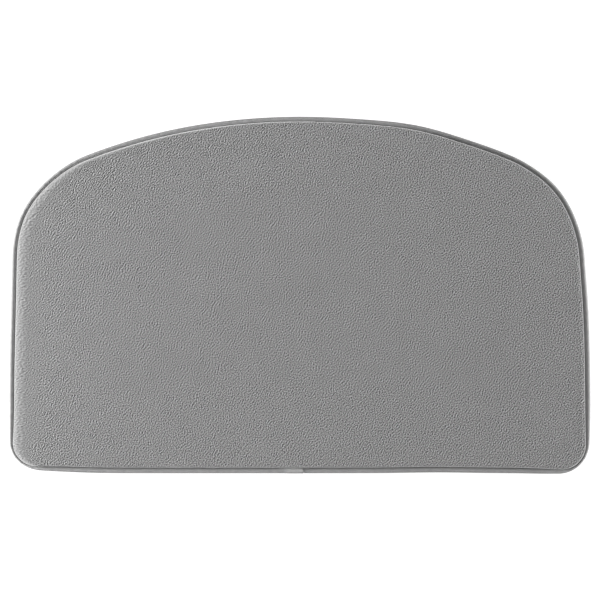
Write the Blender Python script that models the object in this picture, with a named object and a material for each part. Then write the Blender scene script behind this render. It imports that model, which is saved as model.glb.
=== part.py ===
"""Half-moon bath mat: a plush face over memory foam, a non-slip backing and a bound, stitched edge.

Metres, +Z up. The straight front edge faces -Y and the curved back edge faces +Y. The origin is on the
floor, in the middle of the mat's bounding box.
"""

import math

import bmesh
import bpy
import numpy as np

MM = 0.001

# Overall size
WIDTH = 800 * MM
DEPTH = 491 * MM

# The outline: a straight front run, then a corner, a side, a shoulder and the crown, each an arc
CORNER_RADIUS = 43.6 * MM
SHOULDER_RADIUS = 158 * MM
CORNER_TURN = math.radians(89.3)
SIDE_TURN = math.radians(3.9)
SHOULDER_TURN = math.radians(66.2)
CHORD_SAG = 0.2 * MM

# Heights of the layers in the flat middle of the mat
GAP = 0.3 * MM
GRIP_HEIGHT = 1.2 * MM
BASE_THICKNESS = 0.5 * MM
FOAM_THICKNESS = 10.4 * MM
FACE_THICKNESS = 2.6 * MM

# The rolled edge: from the stitched seam the foam and the plush swell to full height over this width.
# The roll starts a little inside the tape's arm, and a little above the layer's height at the seam
ROLL_WIDTH = 9 * MM
ROLL_STEPS = 6
FACE_ROLL_OFFSET = 0.4 * MM
FACE_ROLL_STEP = 0.2 * MM
INNER_ROLL_OFFSET = 1.4 * MM
INNER_ROLL_STEP = 0.1 * MM
FACE_AT_SEAM = 4.3 * MM
FACE_SEAM_THICKNESS = 0.7 * MM
RIM_SWELL = 0.8 * MM

# The binding: a tape folded round the edge into a bead, held by one row of stitches
TAPE_THICKNESS = 0.55 * MM
BEAD_HALF_WIDTH = 2.6 * MM
BEAD_BOTTOM = 0.25 * MM
BEAD_TOP = 6.3 * MM
SEAM_INSET = 5.4 * MM
SEAM_TOP = 5.3 * MM
SEAM_BOTTOM = 0.65 * MM
UPPER_ARM_END = 6.6 * MM
LOWER_ARM_END = 7.6 * MM
ARM_FLARE = 0.3 * MM

# The tape's last stretch lies on top of its first one, just right of the front's centre
LAP_START = -13 * MM
LAP_END = 5 * MM
LAP_RAMP = 9 * MM
LAP_RAMP_STEPS = 6
LAP_LIFT = TAPE_THICKNESS + GAP
LAP_CLEARANCE = 1 * MM
LAP_CUT = 7
TAPE_STEPS = 13

# Sewing thread
THREAD_WIDTH = 0.5 * MM
THREAD_HEIGHT = 0.3 * MM
THREAD_RAMP = 3 * MM

# Where each layer's rim ends inside the bead
BASE_RIM_INSET = 2.2 * MM
FOAM_RIM_INSET = 1.5 * MM
FACE_RIM_INSET = 1.8 * MM
GRIP_INSET = 8.4 * MM

# Heights that follow from the ones above
BASE_BOTTOM = GRIP_HEIGHT + GAP
FOAM_BOTTOM = BASE_BOTTOM + BASE_THICKNESS + GAP
FOAM_TOP = FOAM_BOTTOM + FOAM_THICKNESS
FACE_BOTTOM = FOAM_TOP + GAP
FACE_TOP = FACE_BOTTOM + FACE_THICKNESS
FACE_UNDER_SEAM = FACE_AT_SEAM - FACE_SEAM_THICKNESS
FOAM_AT_SEAM = FACE_UNDER_SEAM - GAP

GREY_PLUSH = (0.25, 0.25, 0.25)
GREY_TAPE = (0.23, 0.23, 0.23)
GREY_THREAD = (0.17, 0.17, 0.17)
GREY_BACKING = (0.31, 0.31, 0.31)
WHITE_FOAM = (0.72, 0.70, 0.63)
CLEAR_GRIP = (0.56, 0.56, 0.56)


class Outline:
    """The mat's D shape, walked counterclockwise from the middle of the front edge."""

    def __init__(self, width, front, back):
        half = self.half_chain(width, back - front)
        self.pieces = half + half[::-1]
        self.length = sum(length for length, radius in self.pieces)
        self.front = front

    @staticmethod
    def half_chain(width, depth):
        """The right half, as (length, radius) pieces, with the side and the crown fitted to the size."""
        corner = CORNER_TURN
        side = corner + SIDE_TURN
        shoulder = side + SHOULDER_TURN
        across = [
            [1 - math.sin(side), math.sin(shoulder)],
            [math.cos(corner) - math.cos(side), 1 + math.cos(shoulder)],
        ]
        wanted = [
            width / 2 - SHOULDER_RADIUS * (math.sin(side) - math.sin(shoulder)),
            depth
            - CORNER_RADIUS * (1 - math.cos(corner))
            - SHOULDER_RADIUS * (math.cos(side) - math.cos(shoulder)),
        ]
        side_radius, crown_radius = (float(r) for r in np.linalg.solve(across, wanted))
        front_run = width / 2 - CORNER_RADIUS * math.sin(corner) - side_radius * (1 - math.sin(corner))
        return [
            (front_run, math.inf),
            (CORNER_RADIUS * CORNER_TURN, CORNER_RADIUS),
            (side_radius * SIDE_TURN, side_radius),
            (SHOULDER_RADIUS * SHOULDER_TURN, SHOULDER_RADIUS),
            (crown_radius * (math.pi - shoulder), crown_radius),
        ]

    def at(self, distance, inset):
        """The point at a distance along the outline, moved inwards by the inset."""
        x, y, heading = 0.0, self.front, 0.0
        left = distance % self.length
        for length, radius in self.pieces:
            step = min(left, length)
            if math.isinf(radius):
                x += step * math.cos(heading)
                y += step * math.sin(heading)
            else:
                turned = heading + step / radius
                x += radius * (math.sin(turned) - math.sin(heading))
                y += radius * (math.cos(heading) - math.cos(turned))
                heading = turned
            left -= step
            if left <= 0:
                break
        return x - inset * math.sin(heading), y + inset * math.cos(heading)

    def stations(self):
        """Distances round the whole outline whose chords stay within CHORD_SAG of the arcs."""
        found = []
        start = 0.0
        for length, radius in self.pieces:
            steps = 1
            if not math.isinf(radius):
                steps = math.ceil(length / math.sqrt(8 * radius * CHORD_SAG))
            found += [start + length * i / steps for i in range(steps)]
            start += length
        return found


OUTLINE = Outline(WIDTH, -DEPTH / 2 + LAP_LIFT, DEPTH / 2)


def clear_scene():
    """Remove every object, so that the mat is the only thing in the file."""
    for existing in list(bpy.data.objects):
        bpy.data.objects.remove(existing, do_unlink=True)


def material(name, colour, roughness):
    """A plain non-metallic finish."""
    finish = bpy.data.materials.new(name)
    finish.use_nodes = True
    shader = finish.node_tree.nodes["Principled BSDF"]
    shader.inputs["Base Color"].default_value = (*colour, 1.0)
    shader.inputs["Roughness"].default_value = roughness
    shader.inputs["Metallic"].default_value = 0.0
    return finish


def loft(name, rings, closed, colour, roughness):
    """Join rings of points into one solid: a closed loop of rings, or a run with a cap at each end."""
    shape = bmesh.new()
    loops = [[shape.verts.new(point) for point in ring] for ring in rings]
    following = loops[1:] + loops[:1] if closed else loops[1:]
    for near, far in zip(loops, following):
        for i in range(len(near)):
            j = (i + 1) % len(near)
            shape.faces.new((near[i], near[j], far[j], far[i]))
    if not closed:
        shape.faces.new(loops[0])
        shape.faces.new(loops[-1])
    bmesh.ops.recalc_face_normals(shape, faces=shape.faces)
    mesh = bpy.data.meshes.new(name)
    shape.to_mesh(mesh)
    shape.free()
    mesh.shade_smooth()
    mesh.set_sharp_from_angle(angle=math.radians(40))
    mesh.materials.append(material(name, colour, roughness))
    solid = bpy.data.objects.new(name, mesh)
    bpy.context.scene.collection.objects.link(solid)
    return solid


def pad(name, profile, colour, roughness):
    """A slab of the mat's shape; the profile is (inset, height) from the top, round the rim, to below."""
    stations = OUTLINE.stations()
    rings = [
        [(*OUTLINE.at(distance, inset), height) for distance in stations] for inset, height in profile
    ]
    return loft(name, rings, False, colour, roughness)


def roll(start, bottom, top):
    """A quarter ellipse from the seam up to full height, as (inset, height) from the top down."""
    end = UPPER_ARM_END + ROLL_WIDTH
    angles = [math.pi / 2 * (1 - i / ROLL_STEPS) for i in range(ROLL_STEPS + 1)]
    return [
        (start + (end - start) * (1 - math.cos(angle)), bottom + (top - bottom) * math.sin(angle))
        for angle in angles
    ]


def face_fabric():
    """The plush shell: it lies over the foam and runs out flat under the binding."""
    above = roll(UPPER_ARM_END + FACE_ROLL_OFFSET, FACE_AT_SEAM + FACE_ROLL_STEP, FACE_TOP)
    rim = [
        (SEAM_INSET, FACE_AT_SEAM),
        (BEAD_HALF_WIDTH, FACE_AT_SEAM + RIM_SWELL),
        (FACE_RIM_INSET, FACE_AT_SEAM + RIM_SWELL / 2),
        (FACE_RIM_INSET, FACE_UNDER_SEAM + RIM_SWELL / 2),
        (SEAM_INSET, FACE_UNDER_SEAM),
    ]
    start = LOWER_ARM_END + INNER_ROLL_OFFSET
    below = roll(start, FACE_UNDER_SEAM + INNER_ROLL_STEP, FACE_BOTTOM)[::-1]
    return pad("face_fabric", above + rim + below, GREY_PLUSH, 1.0)


def foam_core():
    """The memory foam: full thickness inside, pinched thin where the binding is sewn through it."""
    start = LOWER_ARM_END + INNER_ROLL_OFFSET + GAP
    above = roll(start, FOAM_AT_SEAM + INNER_ROLL_STEP, FOAM_TOP)
    rim = [
        (SEAM_INSET, FOAM_AT_SEAM),
        (FOAM_RIM_INSET, FOAM_AT_SEAM),
        (FOAM_RIM_INSET, FOAM_BOTTOM),
    ]
    return pad("foam_core", above + rim, WHITE_FOAM, 0.9)


def base_cloth():
    """The backing cloth, which closes the underside and carries the grip."""
    profile = [(BASE_RIM_INSET, BASE_BOTTOM + BASE_THICKNESS), (BASE_RIM_INSET, BASE_BOTTOM)]
    return pad("base_cloth", profile, GREY_BACKING, 0.9)


def grip_layer():
    """The non-slip dots as one thin slab, as high as a dot: the mat stands on it."""
    profile = [(GRIP_INSET, GRIP_HEIGHT), (GRIP_INSET, 0.0)]
    return pad("grip_layer", profile, CLEAR_GRIP, 0.45)


def ease(start, end, share):
    """A smooth step from start to end, level at both ends."""
    return start + (end - start) * (0.5 - 0.5 * math.cos(math.pi * share))


def tape_point(step):
    """The tape's outer side as (inset, height), in steps 0 to 13 from below, round the bead, to the top.

    Steps 0 to 4 are the lower arm with its dip at the seam, 4 to 10 the half-ellipse bead, and 10 to 13
    the upper arm with the seam at step 12.
    """
    if step < 2:
        inset = LOWER_ARM_END + (SEAM_INSET - LOWER_ARM_END) * step / 2
        return inset, ease(BEAD_BOTTOM, SEAM_BOTTOM, step / 2)
    if step < 4:
        inset = SEAM_INSET + (BEAD_HALF_WIDTH - SEAM_INSET) * (step - 2) / 2
        return inset, ease(SEAM_BOTTOM, BEAD_BOTTOM, (step - 2) / 2)
    if step < 10:
        angle = math.pi * ((step - 4) / 6 - 0.5)
        middle = (BEAD_TOP + BEAD_BOTTOM) / 2
        return BEAD_HALF_WIDTH * (1 - math.cos(angle)), middle + (BEAD_TOP - middle) * math.sin(angle)
    if step < 12:
        inset = BEAD_HALF_WIDTH + (SEAM_INSET - BEAD_HALF_WIDTH) * (step - 10) / 2
        return inset, ease(BEAD_TOP, SEAM_TOP, (step - 10) / 2)
    inset = SEAM_INSET + (UPPER_ARM_END - SEAM_INSET) * (step - 12)
    return inset, ease(SEAM_TOP, SEAM_TOP + ARM_FLARE, step - 12)


def tape_section(lap_lift, first_step):
    """The tape's section: its outer side, then its inner side back again.

    The lift moves the upper arm and the bead outwards, over another layer, and leaves the lower arm.
    """
    outer = []
    inner = []
    for i in range(TAPE_STEPS + 1):
        step = first_step + (TAPE_STEPS - first_step) * i / TAPE_STEPS
        inset, height = tape_point(step)
        before = tape_point(max(step - 0.01, 0))
        after = tape_point(min(step + 0.01, TAPE_STEPS))
        run, rise = after[0] - before[0], after[1] - before[1]
        length = math.hypot(run, rise)
        out = (-rise / length, run / length)
        lift = lap_lift * min(max((step - 4) / (LAP_CUT - 4), 0), 1)
        outer.append((inset + out[0] * lift, height + out[1] * lift))
        under = lift - TAPE_THICKNESS
        inner.append((inset + out[0] * under, height + out[1] * under))
    return outer + inner[::-1]


def binding_tape():
    """The tape folded round the edge, all the way round, with its last stretch lapped over its first."""
    whole = OUTLINE.length
    raised = whole + LAP_START - LAP_CLEARANCE
    ramp = raised - LAP_RAMP
    rise = [ramp + LAP_RAMP * i / LAP_RAMP_STEPS for i in range(LAP_RAMP_STEPS + 1)]
    route = [LAP_START] + OUTLINE.stations() + rise + [whole, whole + LAP_END]
    rings = []
    for distance in route:
        share = min(max((distance - ramp) / LAP_RAMP, 0), 1)
        section = tape_section(LAP_LIFT * share, LAP_CUT * share)
        rings.append([(*OUTLINE.at(distance, inset), height) for inset, height in section])
    return loft("binding_tape", rings, False, GREY_TAPE, 0.85)


def thread(name, bottom, lap_lift):
    """One thread of the seam: a thin ring along the stitch line, raised where it crosses the lap."""
    over_lap = [LAP_END + GAP, LAP_END + THREAD_RAMP]
    under_lap = [LAP_START - LAP_RAMP, LAP_START - LAP_CLEARANCE]
    route = OUTLINE.stations()[:1] + over_lap + OUTLINE.stations()[1:]
    route += [OUTLINE.length + x for x in under_lap]
    rings = []
    for distance in route:
        x = distance if distance < OUTLINE.length / 2 else distance - OUTLINE.length
        lift = float(np.interp(x, under_lap + over_lap, [0, lap_lift, lap_lift, 0]))
        section = [
            (SEAM_INSET - THREAD_WIDTH / 2, bottom + lift),
            (SEAM_INSET + THREAD_WIDTH / 2, bottom + lift),
            (SEAM_INSET + THREAD_WIDTH / 2, bottom + lift + THREAD_HEIGHT),
            (SEAM_INSET - THREAD_WIDTH / 2, bottom + lift + THREAD_HEIGHT),
        ]
        rings.append([(*OUTLINE.at(distance, inset), height) for inset, height in section])
    return loft(name, rings, True, GREY_THREAD, 0.7)


def main():
    """Build the mat from the floor upwards."""
    clear_scene()
    grip_layer()
    base_cloth()
    foam_core()
    face_fabric()
    binding_tape()
    thread("needle_thread", SEAM_TOP + GAP, LAP_LIFT)
    thread("bobbin_thread", SEAM_BOTTOM - GAP - THREAD_HEIGHT, 0.0)


main()
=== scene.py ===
"""Looks of the half-moon bath mat: plush face, memory foam, non-slip backing and stitched binding.

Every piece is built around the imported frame, in metres, with the floor at z = 0, the straight front edge
facing -Y and the crown facing +Y.
"""

from __future__ import annotations

import logging
import math
from dataclasses import dataclass, field, replace
from enum import Enum

import bpy
import numpy as np
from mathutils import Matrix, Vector


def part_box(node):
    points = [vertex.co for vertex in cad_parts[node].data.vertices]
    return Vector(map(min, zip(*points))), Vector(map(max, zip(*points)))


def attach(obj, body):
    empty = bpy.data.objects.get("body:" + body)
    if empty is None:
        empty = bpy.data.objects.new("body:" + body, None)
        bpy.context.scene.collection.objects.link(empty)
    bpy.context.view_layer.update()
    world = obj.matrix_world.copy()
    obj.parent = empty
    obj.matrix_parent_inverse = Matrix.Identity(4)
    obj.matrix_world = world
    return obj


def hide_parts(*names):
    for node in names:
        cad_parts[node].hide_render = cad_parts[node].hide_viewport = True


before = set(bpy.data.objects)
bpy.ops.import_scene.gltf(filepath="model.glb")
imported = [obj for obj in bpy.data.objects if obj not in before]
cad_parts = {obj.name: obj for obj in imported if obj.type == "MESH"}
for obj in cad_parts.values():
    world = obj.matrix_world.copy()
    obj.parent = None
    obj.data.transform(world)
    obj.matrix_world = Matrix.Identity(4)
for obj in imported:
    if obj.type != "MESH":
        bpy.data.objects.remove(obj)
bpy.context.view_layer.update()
LOG = logging.getLogger("bath_mat")
Array = np.ndarray
MM = 0.001

# How far the CAD tape's lap stands out past the front edge
CAD_LAP_LIFT = 0.85 * MM
# The gap between the plush and the foam
LAYER_GAP = 0.3 * MM


# ---- Shader graphs ----


class Value:
    """A number that a material works out over the surface, with arithmetic that adds Math nodes."""

    def __init__(self, graph: Graph, socket: bpy.types.NodeSocket) -> None:
        """Wrap a node's output socket."""
        self.graph = graph
        self.socket = socket

    def _math(self, operation: str, first: Value | float, second: Value | float = 0.0) -> Value:
        """The result of a Math node."""
        return self.graph.node("ShaderNodeMath", {"operation": operation}, {0: first, 1: second})

    def __add__(self, other: Value | float) -> Value:
        """self + other."""
        return self._math("ADD", self, other)

    def __radd__(self, other: float) -> Value:
        """other + self."""
        return self._math("ADD", other, self)

    def __sub__(self, other: Value | float) -> Value:
        """self - other."""
        return self._math("SUBTRACT", self, other)

    def __mul__(self, other: Value | float) -> Value:
        """self * other."""
        return self._math("MULTIPLY", self, other)

    def clamped(self, low: float, high: float) -> Value:
        """The value held between low and high."""
        return self._math("MINIMUM", self._math("MAXIMUM", self, low), high)

    def sine(self) -> Value:
        """The sine of the value."""
        return self._math("SINE", self)


class Graph:
    """The node tree of one material, with its Principled shader."""

    def __init__(self, name: str) -> None:
        """Make a new material.

        Args:
            name: the material's name.
        """
        self.material = bpy.data.materials.new(name)
        self.material.use_nodes = True
        self.tree = self.material.node_tree
        self.shader = self.tree.nodes["Principled BSDF"]

    def node(
        self,
        kind: str,
        settings: dict[str, object] | None = None,
        values: dict[int | str, object] | None = None,
        output: int | str = 0,
    ) -> Value:
        """Add any node.

        Args:
            kind: the node's type name.
            settings: the node's properties.
            values: numbers, tuples or Values for its input sockets.
            output: which output to return.

        Returns:
            The chosen output.
        """
        made = self.tree.nodes.new(kind)
        for key, setting in (settings or {}).items():
            setattr(made, key, setting)
        for key, value in (values or {}).items():
            self._feed(made.inputs[key], value)
        return Value(self, made.outputs[output])

    def _feed(self, socket: bpy.types.NodeSocket, value: object) -> None:
        """Link a Value to a socket, or set a constant on it."""
        if isinstance(value, Value):
            self.tree.links.new(value.socket, socket)
        else:
            socket.default_value = value

    def place(self) -> Value:
        """Object coordinates, in metres."""
        return self.node("ShaderNodeTexCoord", output="Object")

    def parts(self, vector: Value) -> tuple[Value, Value]:
        """The X and the Y of a vector."""
        x = self.node("ShaderNodeSeparateXYZ", values={0: vector}, output="X")
        return x, Value(self, x.socket.node.outputs["Y"])

    def attribute(self, name: str) -> Value:
        """A number stored on the piece's points."""
        return self.node("ShaderNodeAttribute", {"attribute_name": name}, output="Fac")

    def noise(self, place: Value, scale: float, detail: float = 2.0, rough: float = 0.5) -> Value:
        """Soft noise from 0 to 1, of a scale per metre, with finer layers of a given strength."""
        values = {"Vector": place, "Scale": scale, "Detail": detail, "Roughness": rough}
        return self.node("ShaderNodeTexNoise", {"noise_dimensions": "3D"}, values, "Fac")

    def grey(self, level: Value, tint: tuple[float, float, float]) -> Value:
        """A colour: the tint scaled by a level, which is 1 for the tint itself."""
        combined = self.node("ShaderNodeCombineXYZ", values={"X": level, "Y": level, "Z": level})
        return self.node("ShaderNodeVectorMath", {"operation": "MULTIPLY"}, {0: combined, 1: tint})

    def bump(self, height: Value, depth: float, under: Value | None = None) -> Value:
        """A Bump node.

        Args:
            height: the relief, from about 0 to 1.
            depth: how deep the relief is, in metres.
            under: a bumped normal that this relief lies on.

        Returns:
            The bumped normal.
        """
        values = {"Height": height, "Distance": depth}
        if under:
            values["Normal"] = under
        return self.node("ShaderNodeBump", values=values, output="Normal")

    def finish(self, **sockets: object) -> bpy.types.Material:
        """Set the shader's sockets, named with underscores for spaces.

        Args:
            sockets: a Value or a constant for each.

        Returns:
            The finished material.
        """
        for name, value in sockets.items():
            self._feed(self.shader.inputs[name.replace("_", " ")], value)
        return self.material


# ---- Finishes ----


@dataclass(frozen=True)
class PlushFinish:
    """Short grey coral fleece: fine fibres over the clumps that the mesh itself carries."""

    tint: tuple[float, float, float] = (0.2, 0.2, 0.2)
    nub_depth: float = 0.1 * MM
    # how strongly the pile's relief paints shade into the hollows and light onto the tips
    painted_pile_shade: float = 0.88
    fibre_scale: float = 1300.0
    fibre_shade: float = 0.4
    fibre_depth: float = 0.25 * MM
    drift_scale: float = 14.0
    drift_shade: float = 0.05

    def material(self) -> bpy.types.Material:
        """Painted shade in the hollows between the clumps and painted light on their tips, fibre noise
        over them, and a soft sheen.
        """
        graph = Graph("grey_plush")
        place = graph.place()
        pile = graph.attribute("pile")
        fibres = graph.noise(place, self.fibre_scale, 2.0, 0.6)
        drift = graph.noise(place, self.drift_scale)
        # painted shade: the relief darkens the hollows and lightens the tips in the colour
        level = 1.0 + pile * self.painted_pile_shade + (fibres - 0.5) * self.fibre_shade
        level = level + (drift - 0.5) * self.drift_shade
        return graph.finish(
            Base_Color=graph.grey(level.clamped(0.1, 2.5), self.tint),
            Roughness=1.0,
            Specular_IOR_Level=0.1,
            Sheen_Weight=0.6,
            Sheen_Roughness=0.45,
            Normal=graph.bump(fibres, self.fibre_depth, under=graph.bump(pile, self.nub_depth)),
        )


@dataclass(frozen=True)
class TapeFinish:
    """Grey woven binding tape: fine ribs across the tape, on a soft matt yarn."""

    tint: tuple[float, float, float] = (0.36, 0.36, 0.36)
    rib_pitch: float = 1.1 * MM
    rib_depth: float = 0.25 * MM
    yarn_scale: float = 1400.0
    blotch_scale: float = 130.0

    def material(self) -> bpy.types.Material:
        """Ribs from the tape's own UV map, in metres along and across it, with yarn noise."""
        graph = Graph("grey_binding_tape")
        along, across = graph.parts(graph.node("ShaderNodeUVMap", {"uv_map": "tape"}))
        turns = 2 * math.pi / self.rib_pitch
        warp = ((along * turns).sine() * 0.5 + 0.5) * ((across * turns * 0.7).sine() * 0.25 + 0.75)
        yarn = graph.noise(graph.place(), self.yarn_scale, 3.0, 0.6)
        blotch = graph.noise(graph.place(), self.blotch_scale)
        level = 0.86 + warp * 0.16 + (yarn - 0.5) * 0.3 + (blotch - 0.5) * 0.25
        return graph.finish(
            # the colour is scaled by the painted light and shade stored on the tape's points
            Base_Color=graph.grey(level * graph.attribute("painted_light"), self.tint),
            Roughness=0.9,
            Specular_IOR_Level=0.2,
            Sheen_Weight=0.2,
            Sheen_Roughness=0.5,
            Normal=graph.bump(warp * 0.6 + yarn * 0.4, self.rib_depth),
        )


@dataclass(frozen=True)
class ThreadFinish:
    """Darker grey sewing thread, twisted."""

    tint: tuple[float, float, float] = (0.26, 0.26, 0.26)
    twist_pitch: float = 0.6 * MM
    twist_depth: float = 0.08 * MM

    def material(self) -> bpy.types.Material:
        """Two plies that spiral along the thread's UV map."""
        graph = Graph("grey_thread")
        along, turn = graph.parts(graph.node("ShaderNodeUVMap", {"uv_map": "thread"}))
        spiral = (along * (2 * math.pi / self.twist_pitch) + turn * (2 * math.pi)).sine() * 0.5 + 0.5
        return graph.finish(
            Base_Color=graph.grey(0.8 + spiral * 0.4, self.tint),
            Roughness=0.6,
            Normal=graph.bump(spiral, self.twist_depth),
        )


@dataclass(frozen=True)
class FoamFinish:
    """Open-cell memory foam, off-white."""

    tint: tuple[float, float, float] = (0.72, 0.70, 0.63)
    pore_scale: float = 700.0
    pore_depth: float = 0.3 * MM

    def material(self) -> bpy.types.Material:
        """Pores from cell noise."""
        graph = Graph("memory_foam")
        values = {"Vector": graph.place(), "Scale": self.pore_scale}
        cells = graph.node("ShaderNodeTexVoronoi", {"feature": "F1"}, values, "Distance")
        return graph.finish(
            Base_Color=graph.grey(0.85 + cells * 0.3, self.tint),
            Roughness=0.9,
            Normal=graph.bump(cells, self.pore_depth),
        )


@dataclass(frozen=True)
class BackingFinish:
    """Warp-knitted backing cloth: wales and courses in a fine mesh."""

    tint: tuple[float, float, float] = (0.31, 0.31, 0.31)
    wale_pitch: float = 1.6 * MM
    yarn_scale: float = 1500.0
    knit_depth: float = 0.25 * MM

    def material(self) -> bpy.types.Material:
        """Two crossed waves make the knit, with yarn noise over it."""
        graph = Graph("backing_cloth")
        place = graph.place()
        x, y = graph.parts(place)
        turns = 2 * math.pi / self.wale_pitch
        wales = (x * turns).sine() * 0.5 + 0.5
        courses = (y * turns * 1.35 + (x * turns).sine() * 1.2).sine() * 0.5 + 0.5
        yarn = graph.noise(place, self.yarn_scale, 2.0, 0.6)
        knit = wales * 0.5 + courses * 0.5
        return graph.finish(
            Base_Color=graph.grey(0.72 + knit * 0.4 + (yarn - 0.5) * 0.3, self.tint),
            Roughness=0.95,
            Normal=graph.bump(knit * 0.8 + yarn * 0.2, self.knit_depth),
        )


@dataclass(frozen=True)
class GripFinish:
    """Soft clear-grey PVC, a little glossy."""

    tint: tuple[float, float, float] = (0.56, 0.56, 0.56)
    haze_scale: float = 260.0
    scatter_radius: tuple[float, float, float] = (1 * MM, 1 * MM, 1 * MM)

    def material(self) -> bpy.types.Material:
        """Slightly uneven gloss."""
        graph = Graph("clear_grip")
        haze = graph.noise(graph.place(), self.haze_scale, 3.0)
        return graph.finish(
            Base_Color=graph.grey(0.9 + haze * 0.2, self.tint),
            Roughness=0.28 + haze * 0.3,
            Subsurface_Weight=0.2,
            Subsurface_Radius=self.scatter_radius,
        )


@dataclass(frozen=True)
class FloorFinish:
    """Plain white studio floor, lit a little from below."""

    tint: tuple[float, float, float] = (0.4, 0.4, 0.4)
    glow: float = 0.78

    def material(self) -> bpy.types.Material:
        """A matt white surface."""
        graph = Graph("studio_floor")
        return graph.finish(
            Base_Color=(*self.tint, 1.0),
            Roughness=0.9,
            Specular_IOR_Level=0.1,
            Emission_Color=(1.0, 1.0, 1.0, 1.0),
            Emission_Strength=self.glow,
        )


# ---- Geometry ----


def ease(start: float, end: float, share: Array) -> Array:
    """A smooth step: start + (end - start) * (1 - cos(pi * share)) / 2, held outside 0 to 1."""
    held = np.clip(share, 0.0, 1.0)
    return start + (end - start) * (0.5 - 0.5 * np.cos(np.pi * held))


def bell(distance: Array, width: float) -> Array:
    """A bell curve: exp(-(distance / width) ** 2)."""
    return np.exp(-((distance / width) ** 2))


def walk(heading: Array, bend: Array, step: Array) -> Array:
    """How far a step s along an arc of heading h and bend k goes, in x and y.

    It is (sin(h + k s) - sin(h), cos(h) - cos(h + k s)) / k, and s (cos h, sin h) on a straight.

    Args:
        heading: the direction at the start, in radians.
        bend: 1 / radius, or 0 for a straight.
        step: the length walked.

    Returns:
        The movement, x and y on the last axis.
    """
    turned = heading + step * bend
    safe = np.where(bend == 0, 1.0, bend)
    dx = np.where(bend == 0, step * np.cos(heading), (np.sin(turned) - np.sin(heading)) / safe)
    dy = np.where(bend == 0, step * np.sin(heading), (np.cos(heading) - np.cos(turned)) / safe)
    return np.stack([dx, dy], axis=-1)


def raised(plan: Array, height: Array | float) -> Array:
    """Points in plan with a height each, or with one height for all."""
    level = np.broadcast_to(height, plan.shape[:-1])[..., None]
    return np.concatenate([plan, level], axis=-1)


class Side(Enum):
    """The four stretches that the outline is cut into, for a square grid over the mat."""

    FRONT = "front"
    RIGHT = "right"
    BACK = "back"
    LEFT = "left"


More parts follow.
